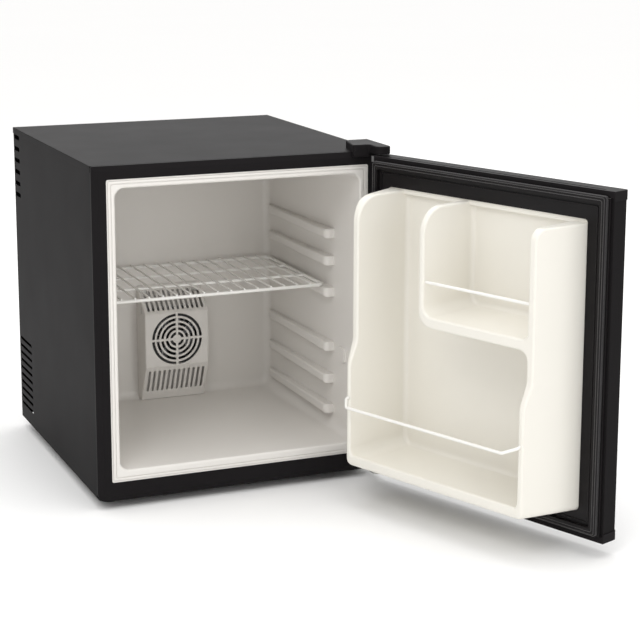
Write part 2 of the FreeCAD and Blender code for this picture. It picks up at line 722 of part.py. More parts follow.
def rear_cover():
    """Plain sheet over the back, with air slots behind the hot fan and near the top."""
    side = PANEL_IN - 1
    front = PANEL_BACK - THROUGH
    back = REAR_FACE + THROUGH
    outline = rectangle(-side, side, PAN_Z + REAR_GAP_LOW, TOP_UNDER - REAR_GAP_HIGH)
    sheet = plate_y(outline, [REAR_RADIUS] * 4, PANEL_BACK, REAR_FACE)
    cuts = [rod_y(sx * COVER_SCREW_X, z, front, back, SCREW_HOLE) for sx in (-1, 1) for z in COVER_SCREW_Z]
    for count, lowest, half in REAR_SLOTS:
        for i in range(count):
            z = lowest + REAR_SLOT_PITCH * i
            slot = rectangle(-half, half, z - REAR_SLOT_HALF, z + REAR_SLOT_HALF)
            cuts.append(plate_y(slot, [REAR_SLOT_HALF * 0.96] * 4, front, back))
    cuts.append(rod_y(KNOB_X, KNOB_Z, front, back, KNOB_SHAFT_R + 0.5))
    cuts.append(rod_y(GLAND_X, GLAND_Z, front, back, GLAND_R + 0.05))
    return sheet.cut(cuts)


def rear_cover_screws():
    screws = []
    for sx in (-1, 1):
        for z in COVER_SCREW_Z:
            screw = screw_y(sx * COVER_SCREW_X, z, -REAR_FACE, COVER_SCREW_LENGTH)
            screws.append(screw.mirror(vec(0, 0, 0), vec(0, 1, 0)))
    return Part.makeCompound(screws)


def cord_gland():
    """Plain bush in the rear cover that the supply cord passes through."""
    tube = rod_y(GLAND_X, GLAND_Z, GLAND_FRONT, GLAND_END, GLAND_R)
    flange = rod_y(GLAND_X, GLAND_Z, REAR_FACE, GLAND_END, GLAND_R + 3)
    collar = rod_y(GLAND_X, GLAND_Z, PANEL_BACK - 2.5, PANEL_BACK, GLAND_R + 1)
    bore = rod_y(GLAND_X, GLAND_Z, GLAND_FRONT - THROUGH, GLAND_END + THROUGH, GLAND_BORE)
    return fused([tube, flange, collar]).cut(bore)


def thermostat_body():
    case = box(KNOB_X - 22, KNOB_X + 22, 196.0, PANEL_BACK, KNOB_Z - 16, KNOB_Z + 16)
    return case.cut(rod_y(KNOB_X, KNOB_Z, 205.0, PANEL_BACK + 1, KNOB_SHAFT_R + RUNNING_GAP))


def thermostat_knob():
    """Round knob with a grip bar; its shaft turns in the thermostat."""
    disc = rod_y(KNOB_X, KNOB_Z, REAR_FACE + 0.5, REAR_FACE + 6, KNOB_R)
    reach = KNOB_R - 2
    grip = box(KNOB_X - 3, KNOB_X + 3, REAR_FACE + 4, REAR_FACE + 13, KNOB_Z - reach, KNOB_Z + reach)
    shaft = rod_y(KNOB_X, KNOB_Z, 206.0, REAR_FACE + 2, KNOB_SHAFT_R)
    rim = [e for e in disc.Edges if e.CenterOfMass.y > REAR_FACE + 5.9]
    return fused([disc.makeFillet(1.5, rim), grip, shaft])


# ---------------------------------------------------------------- hinges

def top_hinge_bracket():
    """Flat steel arm screwed to the cabinet's top and reaching out over the door's pin."""
    points = [(194.0, -192.0), (194.0, -232.0), (201.0, -241.0), (201.0, -271.5), (216.9, -271.5),
              (216.9, -192.0)]
    arm = plate_z(points, [3.0, 3.0, 3.0, 6.0, 7.5, 3.0], TOP_Z, TOP_Z + BRACKET)
    low = TOP_Z - THROUGH
    high = TOP_Z + BRACKET + THROUGH
    holes = [rod_z(x, y, low, high, SCREW_HOLE) for x, y in TOP_BRACKET_SCREWS]
    return arm.cut(holes + [rod_z(HINGE_X, HINGE_Y, low, high, PIN_R)])


def top_hinge_pin():
    seat = TOP_Z + BRACKET
    pin = rod_z(HINGE_X, HINGE_Y, DOOR_HIGH - BUSH_LENGTH + 4, seat + 0.5, PIN_R)
    return fused([pin, rod_z(HINGE_X, HINGE_Y, seat, seat + 2, PIN_R + PIN_HEAD)])


def hinge_cover_outline(inset):
    points = [(184.0, -186.0), (171.0, -243.3), (197.0, -243.3), (197.0, -274.0), (219.0, -274.0),
              (219.0, -186.0)]
    return shifted(points, inset)


def top_hinge_cover():
    """Moulded cap over the top bracket, with a skirt down the frame's front corner."""
    high = HINGE_COVER_HIGH
    shell = plate_z(hinge_cover_outline(0), [3.0, 4.0, 3.0, 9.0, 9.0, 3.0], TOP_Z, high)
    top = [e for e in shell.Edges if e.CenterOfMass.z > high - 0.01]
    shell = shell.makeFillet(2.0, top)
    inside = hinge_cover_outline(HINGE_COVER_WALL)
    hollow = plate_z(inside, [2.0, 2.5, 3.0, 8.0, 8.0, 2.0], TOP_Z - THROUGH, high - HINGE_COVER_WALL)
    skirt_low = 490.0
    skirt_x = 172.0
    skirt = box(skirt_x, 196.5, FRAME_FACE - 7.6, FRAME_FACE - 0.1, skirt_low, TOP_Z + 2)
    under = [e for e in skirt.Edges if e.CenterOfMass.z < skirt_low + 0.1]
    beside = [e for e in skirt.Edges if abs(e.CenterOfMass.x - skirt_x) < 0.1 and e not in under]
    return fused([shell.cut(hollow), skirt.makeFillet(2.0, under + beside)])


def bottom_hinge_bracket():
    """Flat steel arm under the cabinet's front corner, carrying the lower pin."""
    points = rectangle(LOW_BRACKET_X0, 218.5, -272.0, -196.0)
    arm = plate_z(points, [7.0, 7.0, 3.0, 3.0], PAN_Z - BRACKET, PAN_Z)
    low = PAN_Z - BRACKET - THROUGH
    high = PAN_Z + THROUGH
    holes = [rod_z(x, y, low, high, SCREW_HOLE) for x, y in LOW_BRACKET_SCREWS]
    return arm.cut(holes + [rod_z(HINGE_X, HINGE_Y, low, high, PIN_R)])


def bottom_hinge_pin():
    seat = PAN_Z - BRACKET
    pin = rod_z(HINGE_X, HINGE_Y, seat - 0.5, DOOR_LOW + BUSH_LENGTH - 5, PIN_R)
    return fused([pin, rod_z(HINGE_X, HINGE_Y, seat - 2, seat, PIN_R + PIN_HEAD)])


def hinge_screws():
    screws = []
    for x, y in TOP_BRACKET_SCREWS:
        seat = TOP_Z + BRACKET
        head = rod_z(x, y, seat, seat + SCREW_HEAD, SCREW_HEAD_R)
        screws.append(fused([head, rod_z(x, y, seat - HINGE_SCREW_LENGTH, seat + 1, SCREW_R)]))
    for x, y in LOW_BRACKET_SCREWS:
        seat = PAN_Z - BRACKET
        head = rod_z(x, y, seat - SCREW_HEAD, seat, SCREW_HEAD_R)
        screws.append(fused([head, rod_z(x, y, seat - 1, seat + HINGE_SCREW_LENGTH, SCREW_R)]))
    return Part.makeCompound(screws)


# ---------------------------------------------------------------- shelf

def wire_shelf():
    """Welded wire shelf: a rectangular hoop, two cross wires and fine wires from front to back."""
    half = SHELF_HALF - RAIL_R
    hoop = [
        vec(0, SHELF_FRONT, SHELF_Z), vec(half, SHELF_FRONT, SHELF_Z), vec(half, SHELF_BACK, SHELF_Z),
        vec(-half, SHELF_BACK, SHELF_Z), vec(-half, SHELF_FRONT, SHELF_Z), vec(0, SHELF_FRONT, SHELF_Z),
    ]
    shapes = [pipe(hoop, [SHELF_BEND] * 4, RAIL_R)]
    for y in SHELF_CROSS:
        shapes.append(rod(vec(-half, y, SHELF_Z), vec(half, y, SHELF_Z), RAIL_R - 0.5))
    pitch = 2 * half / SHELF_GAPS
    wire_z = SHELF_Z + RAIL_R + WIRE_R - 0.6
    for i in range(1, SHELF_GAPS):
        x = -half + pitch * i
        shapes.append(rod(vec(x, SHELF_FRONT - 1.5, wire_z), vec(x, SHELF_BACK + 1.5, wire_z), WIRE_R))
    return shapes[0].fuse(shapes[1:])


# ---------------------------------------------------------------- door

def door_point(u, n, z):
    return vec(HINGE_X - u, HINGE_Y + n, z)


def door_box(u0, u1, n0, n1, z0, z1):
    return box(HINGE_X - u1, HINGE_X - u0, HINGE_Y + n0, HINGE_Y + n1, z0, z1)


def door_upright(u, n, z0, z1, radius):
    return rod(door_point(u, n, z0), door_point(u, n, z1), radius)


def across(points, radii, u0, u1):
    """Outline in n and z, swept from u0 to u1."""
    wire = outline(points, radii, lambda a, b: door_point(u0, a, b))
    return Part.Face(wire).extrude(vec(u0 - u1, 0, 0))


def inward(points, radii, n0, n1):
    """Outline in u and z, swept from n0 to n1."""
    wire = outline(points, radii, lambda a, b: door_point(a, n0, b))
    return Part.Face(wire).extrude(vec(0, n1 - n0, 0))


def upright(points, radii, z0, z1):
    """Outline in u and n, swept from z0 to z1."""
    wire = outline(points, radii, lambda a, b: door_point(a, b, z0))
    return Part.Face(wire).extrude(vec(0, 0, z1 - z0))


def tapered(points0, n0, points1, n1, radii):
    near = outline(points0, radii, lambda a, b: door_point(a, n0, b))
    far = outline(points1, radii, lambda a, b: door_point(a, n1, b))
    return Part.makeLoft([near, far], True, True)


def opened(shape):
    turned = shape.copy()
    turned.rotate(vec(HINGE_X, HINGE_Y, 0), vec(0, 0, 1), REST_OPENING)
    return turned


def door_section(inset):
    points = shifted(rectangle(DOOR_U0, DOOR_U1, DOOR_OUTER, DOOR_INNER), inset)
    radius = DOOR_RADIUS - inset
    return points, [radius, radius, 0.8, 0.8]


def door_shell():
    """Folded steel skin: outer face, both edges and narrow returns round the inner face."""
    low = DOOR_LOW + CAP_PLATE + 1
    high = DOOR_HIGH - CAP_PLATE - 1
    points, radii = door_section(CAP_WALL)
    inner_points, inner_radii = door_section(CAP_WALL + SHEET)
    shell = upright(points, radii, low, high).cut(upright(inner_points, inner_radii, low - 1, high + 1))
    mouth = door_box(DOOR_U0 + RETURN, DOOR_U1 - RETURN, 5.0, DOOR_INNER + 1, low - 1, high + 1)
    cup = inward(rectangle(CUP_U0, CUP_U1, CUP_LOW, CUP_HIGH), [CUP_RADIUS] * 4, DOOR_OUTER - 1, 0)
    return shell.cut([mouth, cup, hinge_tab(0.1)])


def door_cap(z_end, direction):
    """Moulded tray over one end of the door: a full cap outside, a short skirt on the inner side."""
    z_skirt = z_end - direction * CAP_SKIRT
    z_inner_skirt = z_end - direction * CAP_INNER_SKIRT
    points, radii = door_section(0)
    inner_points, inner_radii = door_section(CAP_WALL - 0.02)
    low, high = sorted((z_end, z_skirt))
    cap = upright(points, radii, low, high)
    ends = [e for e in cap.Edges if abs(e.CenterOfMass.z - z_end) < 0.01]
    cap = cap.makeFillet(0.7, ends)
    low, high = sorted((z_end - direction * CAP_PLATE, z_skirt - direction))
    cap = cap.cut(upright(inner_points, inner_radii, low, high))
    low, high = sorted((z_inner_skirt, z_skirt - direction))
    window = door_box(DOOR_U0 + 1.5, DOOR_U1 - 1.5, DOOR_INNER - 2, DOOR_INNER + 1, low, high)
    low, high = sorted((z_end, z_end - direction * CAP_GROOVE))
    groove = door_box(DOOR_U0 + 14, DOOR_U1 - 20, DOOR_INNER - 9, DOOR_INNER - 6, low, high)
    return cap.cut([window, groove])


def door_top_cap():
    cap = door_cap(DOOR_HIGH, 1)
    hole = door_upright(0, 0, DOOR_HIGH - CAP_PLATE - THROUGH, DOOR_HIGH + THROUGH, BUSH_R + 0.02)
    return cap.cut([hole, hinge_tab(0.1)])


def door_bottom_cap():
    cap = door_cap(DOOR_LOW, -1)
    hole = door_upright(0, 0, DOOR_LOW - THROUGH, DOOR_LOW + CAP_PLATE + THROUGH, BUSH_R + 0.02)
    return cap.cut(hole)


def hinge_tab(grow):
    """Block at the top hinge corner, flush with the cap's top and just proud of its inner face."""
    return door_box(TAB_U0 - grow, TAB_U1 + grow, 8.0 - grow, DOOR_INNER + 0.8,
                    DOOR_HIGH - CAP_INNER_SKIRT + 0.4 - grow, DOOR_HIGH - 0.5)


def top_hinge_bush():
    barrel = door_upright(0, 0, DOOR_HIGH - BUSH_LENGTH, DOOR_HIGH, BUSH_R)
    bridge = door_box(TAB_U0, 4.0, 0, 9.0, DOOR_HIGH - CAP_INNER_SKIRT + 0.4, DOOR_HIGH - CAP_PLATE - 1)
    flange = door_upright(0, 0, DOOR_HIGH, DOOR_HIGH + 1, BUSH_R + 1.5)
    bore = door_upright(0, 0, DOOR_HIGH - BUSH_LENGTH + 3, DOOR_HIGH + 2, PIN_R + RUNNING_GAP)
    return fused([barrel, bridge, flange, hinge_tab(0)]).cut(bore)


def bottom_hinge_bush():
    barrel = door_upright(0, 0, DOOR_LOW, DOOR_LOW + BUSH_LENGTH, BUSH_R)
    flange = door_upright(0, 0, DOOR_LOW - 1, DOOR_LOW, BUSH_R + 1.5)
    bore = door_upright(0, 0, DOOR_LOW - 2, DOOR_LOW + BUSH_LENGTH - 3, PIN_R + RUNNING_GAP)
    return fused([barrel, flange]).cut(bore)


def cup_block(grow, radius, n0, n1):
    sides = rectangle(CUP_U0 - grow, CUP_U1 + grow, CUP_LOW - grow, CUP_HIGH + grow)
    return inward(sides, [radius] * 4, DOOR_OUTER + n0, DOOR_OUTER + n1)


def handle_cup():
    """Finger recess let into the outer face by the free edge."""
    cup = cup_block(0, CUP_RADIUS, CAP_WALL, CUP_DEPTH)
    hollow = cup_block(-CUP_SKIN, CUP_RADIUS - CUP_SKIN, -2, CUP_DEPTH - CUP_SKIN)
    lip = cup_block(3, CUP_RADIUS + 2, -0.4, CAP_WALL)
    return fused([cup, lip]).cut(hollow)


# ---------------------------------------------------------------- door liner

def liner_envelope(t):
    """Outer walls of the liner's raised part, drawn in towards the cabinet."""
    def section(n):
        depth = n - DOOR_INNER
        sides = rectangle(BASE_U0 + 0.233 * depth, BASE_U1 - 0.152 * depth, BASE_LOW + 0.0685 * depth,
                          BASE_HIGH - 0.02 * depth)
        return shifted(sides, t)
    near = 4.0
    far = DYKE_DEEP + 4
    radii = [radius - t for radius in BASE_RADII]
    return tapered(section(near), near, section(far), far, radii)


def depth_limits(t):
    """How far the hinge-side dyke, the middle and the free-side dyke reach, as three side profiles."""
    underside = [(0, BASE_LOW - 2), (DYKE_DEEP, 61.8)]
    split_left = BAY_LEFT + 20
    split_right = BAY_RIGHT - 20
    step = [(DYKE_DEEP, 215.0), (DYKE_SHALLOW, 246.0)]
    left = underside + step + [(DYKE_SHALLOW, 452.0), (0, 452.0)]
    middle = underside + [(DYKE_DEEP, 110.0), (DYKE_SHALLOW, 130.0), (DYKE_SHALLOW, 452.0), (0, 452.0)]
    right = underside + step + [(DYKE_SHALLOW, 449.0), (0, 449.0)]
    profiles = [
        across(shifted(left, t), [0, 10.0 - t, 25.0, 25.0, 37.0 - t, 0], 0, split_left),
        across(shifted(middle, t), [0, 10.0 - t, 6.0, 6.0, 37.0 - t, 0], split_left, split_right),
        across(shifted(right, t), [0, 10.0 - t, 25.0, 25.0, 17.0 - t, 0], split_right, BASE_U1 + 10),
    ]
    return profiles[0].fuse(profiles[1:]).removeSplitter()


def bays(t):
    """The storage spaces: one tall and wide at the bottom, one pocket at the top, both open upwards."""
    bay = [(BAY_LEFT, BAY_LOW), (BAY_RIGHT, BAY_LOW), (BAY_RIGHT, POCKET_UNDER), (POCKET_LEFT, POCKET_UNDER),
           (POCKET_LEFT, ABOVE_DOOR), (BAY_LEFT, ABOVE_DOOR)]
    bay_radii = [18.0, 18.0, 15.0, 22.0, 0, 0]
    pocket = rectangle(POCKET_INSIDE, BAY_RIGHT, POCKET_FLOOR, ABOVE_DOOR)
    pocket_radii = [16.0, 10.0, 0, 0]
    near = BAY_FLOOR - t
    far = DYKE_DEEP + 6
    spaces = []
    for points, radii in ((bay, bay_radii), (pocket, pocket_radii)):
        at_front = shifted(points, -t - BAY_DRAFT * (far - DYKE_SHALLOW))
        at_back = shifted(points, -t - BAY_DRAFT * (near - DYKE_SHALLOW))
        spaces.append(tapered(at_back, near, at_front, far, radii))
    ceiling = door_box(0, BASE_U1 + 20, 0, DOOR_INNER - t, RECESS_HIGH + t, ABOVE_DOOR + 20)
    return [space.cut(ceiling) for space in spaces]


def liner_mass(t, back):
    """Everything behind the liner's visible face, with each face moved in by t."""
    spread = 6.0 if t else 0.0
    base = door_box(FLANGE_U0 - spread, FLANGE_U1 + spread, back, DOOR_INNER - t, FLANGE_LOW - spread,
                    FLANGE_HIGH + spread)
    raised = liner_envelope(t).common(depth_limits(t))
    lip = door_box(BAY_LEFT - 4, BAY_RIGHT + 4, DYKE_DEEP - 7 + t, DYKE_DEEP - t,
                   BAY_LOW - 6, BAY_LOW + 8 - t)
    hollowed = base.fuse(raised).cut(bays(t))
    return hollowed.fuse(lip.common(raised)).removeSplitter()


def rail_bores(clearance):
    return [upper_rail_wire(clearance), lower_rail_wire(clearance)]


def upper_rail_wire(clearance):
    start = door_point(POCKET_INSIDE - 4, UPPER_RAIL_N, UPPER_RAIL_Z)
    end = door_point(BAY_RIGHT + 4, UPPER_RAIL_N, UPPER_RAIL_Z)
    return rod(start, end, RAIL_WIRE_R + clearance)


def lower_rail_wire(clearance):
    route = [
        door_point(52.0, DYKE_DEEP - 6, 166.0), door_point(52.0, DYKE_DEEP + 4, 163.0),
        door_point(64.0, 138.0, 155.5), door_point(352.0, 138.0, 155.5),
        door_point(369.0, DYKE_DEEP + 4, 163.0), door_point(369.0, DYKE_DEEP - 6, 166.0),
    ]
    return pipe(route, [5.0, 5.0, 5.0, 5.0], RAIL_WIRE_R + clearance)


def is_sharp(shape, edge):
    """True where the two faces at an edge turn by more than a smooth seam does."""
    middle = edge.valueAt((edge.FirstParameter + edge.LastParameter) / 2)
    normals = []
    for face in shape.ancestorsOfType(edge, Part.Face):
        u, v = face.Surface.parameter(middle)
        normals.append(face.normalAt(u, v))
    return math.degrees(normals[0].getAngle(normals[1])) > SEAM_ANGLE


def softened(mass):
    """The liner's raised edges and the corners at the back of its bays, rounded as the formed sheet is."""
    def reach(edge):
        return edge.BoundBox.YMin - HINGE_Y, edge.BoundBox.YMax - HINGE_Y
    raised = [e for e in mass.Edges if reach(e)[0] > 60 and is_sharp(mass, e)]
    mass = mass.makeFillet(LINER_EDGE, raised)
    on_floor = [e for e in mass.Edges if abs(sum(reach(e)) / 2 - BAY_FLOOR) < 0.1]
    sunk = [e for e in on_floor if e.CenterOfMass.z < RECESS_HIGH - 1]
    return mass.makeFillet(BAY_CORNER, sunk)


def door_liner():
    face = softened(liner_mass(0, 5.0))
    return face.cut([liner_mass(LINER_SKIN, 0)] + rail_bores(0.1)).removeSplitter()


def door_foam():
    core = door_box(DOOR_U0 + 2.2, DOOR_U1 - 2.2, DOOR_OUTER + 2.2, 200.0, DOOR_LOW + 5, DOOR_HIGH - 5)
    mass = liner_mass(LINER_SKIN, DOOR_OUTER + 2.2)
    cup = door_box(CUP_U0, CUP_U1, DOOR_OUTER, DOOR_OUTER + CUP_DEPTH, CUP_LOW, CUP_HIGH)
    corners = [
        door_box(DOOR_U0, 12.0, DOOR_OUTER, DOOR_INNER + 1, DOOR_HIGH - 20, DOOR_HIGH),
        door_box(DOOR_U0, 12.0, DOOR_OUTER, DOOR_INNER + 1, DOOR_LOW, DOOR_LOW + 20),
    ]
    edge = door_box(FLANGE_U0, FLANGE_U1, DOOR_OUTER, 200.0, FLANGE_LOW, FLANGE_HIGH)
    return mass.common(core).common(edge).cut([cup] + corners + rail_bores(0.1))


def door_gasket():
    """Soft seal: a web lapping the liner's flange and a hollow magnetic bulb that meets the frame."""
    web_high = DOOR_INNER + WEB
    web = inward(rectangle(FLANGE_U0 - 1, FLANGE_U1 + 1, FLANGE_LOW, FLANGE_HIGH), [1.0] * 4,
                 DOOR_INNER - 0.95, web_high)
    flange = door_box(FLANGE_U0 - 0.05, FLANGE_U1 + 0.05, 0, DOOR_INNER, FLANGE_LOW - 1, FLANGE_HIGH + 1)
    ring = rectangle(BULB_U0, BULB_U1, BULB_LOW, BULB_HIGH)
    bulb = inward(ring, [4.0] * 4, DOOR_INNER, BULB_TOP)
    bulb = bulb.makeFillet(1.5, [e for e in bulb.Edges if e.CenterOfMass.y > HINGE_Y + BULB_TOP - 0.01])
    bulb = bulb.cut(inward(shifted(ring, BULB_WIDTH), [3.0] * 4, web_high - 1, BULB_TOP + 1))
    hollow = inward(shifted(ring, BULB_SKIN), [3.0] * 4, DOOR_INNER + 1.2, BULB_TOP - 1.2)
    hollow = hollow.cut(inward(shifted(ring, BULB_WIDTH - BULB_SKIN), [2.0] * 4, DOOR_INNER, BULB_TOP))
    bead_ring = shifted(ring, BULB_WIDTH + 4)
    bead = inward(bead_ring, [3.0] * 4, web_high - 0.5, web_high + 1.6)
    bead = bead.cut(inward(shifted(bead_ring, 2.0), [2.0] * 4, web_high - 1, web_high + 2))
    around = rectangle(BASE_U0 - 0.3, BASE_U1 + 0.3, BASE_LOW - 0.3, BASE_HIGH + 0.3)
    hole = inward(around, [radius + 0.3 for radius in BASE_RADII], DOOR_INNER - 1, web_high + 2)
    return fused([web.cut(flange), bulb, bead]).cut([hole, hollow])


def gasket_magnets():
    """Four flat magnetic strips lying loose in the bulb's hollow."""
    n0 = DOOR_INNER + 2.0
    n1 = n0 + 3.0
    a = 2.0
    b = BULB_WIDTH - 2.0
    clear = BULB_WIDTH + 2.0
    return Part.makeCompound([
        door_box(BULB_U0 + a, BULB_U0 + b, n0, n1, BULB_LOW + clear, BULB_HIGH - clear),
        door_box(BULB_U1 - b, BULB_U1 - a, n0, n1, BULB_LOW + clear, BULB_HIGH - clear),
        door_box(BULB_U0 + clear, BULB_U1 - clear, n0, n1, BULB_LOW + a, BULB_LOW + b),
        door_box(BULB_U0 + clear, BULB_U1 - clear, n0, n1, BULB_HIGH - b, BULB_HIGH - a),
    ])


def upper_rail():
    return upper_rail_wire(0)


def lower_rail():
    return lower_rail_wire(0)


# ---------------------------------------------------------------- export

FIXED_PARTS = (
    top_panel, left_side_panel, right_side_panel, bottom_pan, front_frame, inner_liner, cabinet_foam,
    rear_feet, front_left_foot, front_right_foot, foot_nuts, duct_cover, duct_cover_screws,
    cold_fan_frame, cold_fan_rotor, cold_sink, spacer_block, thermoelectric_module, hot_sink,
    hot_fan_frame, hot_fan_rotor, power_supply, rear_cover, rear_cover_screws, cord_gland,
    thermostat_body, thermostat_knob, top_hinge_bracket, top_hinge_pin, top_hinge_cover,
    bottom_hinge_bracket, bottom_hinge_pin, hinge_screws, wire_shelf,
)
DOOR_PARTS = (
    door_shell, door_top_cap, door_bottom_cap, top_hinge_bush, bottom_hinge_bush, handle_cup,
    door_liner, door_foam, door_gasket, gasket_magnets, upper_rail, lower_rail,
)


def export(make, shape):
    solids = len(shape.Solids)
    print(f"{make.__name__}: {solids} solids, {shape.Volume / 1000:.1f} cm3, valid {shape.isValid()}")
    shape.exportStep(os.path.join("parts", make.__name__ + ".step"))


os.makedirs("parts", exist_ok=True)
for maker in FIXED_PARTS:
    export(maker, maker())
for maker in DOOR_PARTS:
    export(maker, opened(maker()))
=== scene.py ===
import bmesh
import bpy
import json
import math
from mathutils import Matrix, Vector

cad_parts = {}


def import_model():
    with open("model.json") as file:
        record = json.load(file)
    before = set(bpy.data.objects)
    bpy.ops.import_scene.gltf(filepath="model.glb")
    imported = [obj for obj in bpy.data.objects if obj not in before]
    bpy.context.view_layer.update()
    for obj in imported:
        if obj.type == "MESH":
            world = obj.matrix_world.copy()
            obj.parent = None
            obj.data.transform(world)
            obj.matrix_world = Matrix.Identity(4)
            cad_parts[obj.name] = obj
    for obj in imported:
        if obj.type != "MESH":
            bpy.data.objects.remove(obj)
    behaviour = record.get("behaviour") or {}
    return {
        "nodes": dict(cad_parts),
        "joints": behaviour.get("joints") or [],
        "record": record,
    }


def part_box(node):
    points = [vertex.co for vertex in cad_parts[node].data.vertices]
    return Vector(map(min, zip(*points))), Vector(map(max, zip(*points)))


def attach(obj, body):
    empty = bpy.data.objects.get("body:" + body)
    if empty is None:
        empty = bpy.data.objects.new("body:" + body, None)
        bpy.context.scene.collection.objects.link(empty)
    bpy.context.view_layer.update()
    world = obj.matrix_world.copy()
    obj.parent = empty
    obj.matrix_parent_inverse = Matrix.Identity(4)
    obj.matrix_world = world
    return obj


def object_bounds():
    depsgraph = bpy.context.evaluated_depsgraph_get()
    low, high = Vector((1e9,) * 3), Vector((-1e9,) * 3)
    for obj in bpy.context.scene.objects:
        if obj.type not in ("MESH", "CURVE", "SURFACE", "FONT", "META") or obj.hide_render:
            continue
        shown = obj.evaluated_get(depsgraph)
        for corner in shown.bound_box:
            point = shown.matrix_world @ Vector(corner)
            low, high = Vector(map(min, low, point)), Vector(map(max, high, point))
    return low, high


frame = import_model()
cad_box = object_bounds()
nodes = frame["nodes"]

# ---------------------------------------------------------------- what the scene is drawn from

STUDIO_LIGHTS = (
    # name, place, what it is aimed at, width and height, watts
    ("key", (-1.6, -2.2, 2.6), "object", (1.2, 1.0), 16.0),
    ("fill", (0.5, -3.0, 0.9), "object", (1.2, 1.2), 9.5),
    ("overhead", (0.1, -0.2, 2.6), "object", (1.8, 1.6), 14.0),
    ("rear", (1.3, 3.0, 1.6), "top_panel", (3.0, 1.4), 20.0),
)
STUDIO_HORIZON = 0.42
STUDIO_ZENITH = 1.35
STUDIO_TINT = (1.0, 0.995, 0.985, 1.0)
BACKDROP_TINT = (0.99, 0.99, 0.985, 1.0)
FLOOR_HALF = 30.0

CAMERA_EYE = (-0.8735, -2.5979, 0.8678)
CAMERA_YAW = 22.857
CAMERA_PITCH = 11.494
CAMERA_ROLL = 0.131
CAMERA_LENS = 100.7
CAMERA_SENSOR = 36.0
CAMERA_SHIFT_Y = -0.1
CAMERA_NEAR = 0.1
CAMERA_FAR = 200.0

# Folds of the door's seal
FACE_FOLD_INSETS = (-0.0002, 0.0035)
FACE_FOLD_WIDTH = 0.0012
FACE_FOLD_RISE = 0.00045
FACE_FOLD_SINK = 0.0001
FACE_FOLD_RADIUS = 0.003
FLANK_WALL = 0.002
FLANK_DEPTHS = (0.0022, 0.0040, 0.0058)
FLANK_FOLD_WIDTH = 0.0009
FLANK_FOLD_RISE = 0.0006
FLANK_RADIUS = 0.004
BEAD_SINK = 0.3

# Marks round the temperature knob
MARKS = 7
MARK_START = 225
MARK_STEP = 45
MARK_CLEARANCE = 0.004
MARK_SHORTEST = 0.0025
MARK_GROWTH = 0.0005
MARK_FOOT = 0.0006
MARK_CREST = 0.0003
MARK_LIFT = 0.0003


# ---------------------------------------------------------------- shader helper

class Shader:
    """A Principled material whose textures are placed in metres on the part itself."""

    def __init__(self, name, roughness, metallic=0.0, specular=0.5, coat=0.0, coat_roughness=0.1):
        self.material = bpy.data.materials.new(name)
        self.material.use_nodes = True
        self.tree = self.material.node_tree
        self.out = self.tree.nodes["Principled BSDF"]
        self.out.inputs["Roughness"].default_value = roughness
        self.out.inputs["Metallic"].default_value = metallic
        self.out.inputs["Specular IOR Level"].default_value = specular
        self.out.inputs["Coat Weight"].default_value = coat
        self.out.inputs["Coat Roughness"].default_value = coat_roughness
        self.place = self.add("ShaderNodeTexCoord").outputs["Object"]

    def add(self, kind, **values):
        node = self.tree.nodes.new(kind)
        for key, value in values.items():
            setattr(node, key, value)
        return node

    def link(self, source, target):
        self.tree.links.new(source, target)

    def stretched(self, scale):
        mapping = self.add("ShaderNodeMapping")
        mapping.inputs["Scale"].default_value = scale
        self.link(self.place, mapping.inputs["Vector"])
        return mapping.outputs["Vector"]

    def noise(self, scale, detail=3.0, roughness=0.5, place=None):
        node = self.add("ShaderNodeTexNoise")
        node.inputs["Scale"].default_value = scale
        node.inputs["Detail"].default_value = detail
        node.inputs["Roughness"].default_value = roughness
        self.link(place or self.place, node.inputs["Vector"])
        return node.outputs["Fac"]

    def cells(self, scale, place=None):
        node = self.add("ShaderNodeTexVoronoi")
        node.inputs["Scale"].default_value = scale
        self.link(place or self.place, node.inputs["Vector"])
        return node.outputs["Distance"]

    def spread(self, value, low, high, start=0.15, end=0.85):
        node = self.add("ShaderNodeMapRange")
        node.inputs["From Min"].default_value = start
        node.inputs["From Max"].default_value = end
        node.inputs["To Min"].default_value = low
        node.inputs["To Max"].default_value = high
        self.link(value, node.inputs["Value"])
        return node.outputs["Result"]

    def blend(self, factor, first, second):
        node = self.add("ShaderNodeMix", data_type="RGBA")
        self.link(factor, node.inputs["Factor"])
        for value, socket in ((first, node.inputs[6]), (second, node.inputs[7])):
            if hasattr(value, "links"):
                self.link(value, socket)
            else:
                socket.default_value = (*value, 1.0)
        return node.outputs[2]

    def colour(self, value):
        self.link(value, self.out.inputs["Base Color"])

    def drift(self, base, amount, scale):
        """Slow, slight change of colour over the surface."""
        darker = [c * (1 - amount) for c in base]
        lighter = [min(1.0, c * (1 + amount)) for c in base]
        value = self.blend(self.spread(self.noise(scale), 0.0, 1.0), darker, lighter)
        self.colour(value)
        return value

    def gloss(self, low, high, scale):
        self.link(self.spread(self.noise(scale, 4.0), low, high), self.out.inputs["Roughness"])

    def relief(self, layers, edge):
        """Rounded edges, then each (height, depth in metres) pair as a bump over them."""
        bevel = self.add("ShaderNodeBevel", samples=6)
        bevel.inputs["Radius"].default_value = edge
        normal = bevel.outputs["Normal"]
        for height, depth in layers:
            bump = self.add("ShaderNodeBump")
            bump.inputs["Strength"].default_value = 1.0
            bump.inputs["Distance"].default_value = depth
            self.link(height, bump.inputs["Height"])
            self.link(normal, bump.inputs["Normal"])
            normal = bump.outputs["Normal"]
        self.link(normal, self.out.inputs["Normal"])


# ---------------------------------------------------------------- materials

def black_paint():
    """Powder-coated sheet: near black, satin, with a fine orange peel."""
    s = Shader("black_paint", 0.5, specular=0.03)
    s.drift((0.0108, 0.0098, 0.0103), 0.04, 5.0)
    s.gloss(0.48, 0.53, 12.0)
    s.relief([(s.noise(700.0, 2.0), 0.000012)], 0.0004)
    return s.material


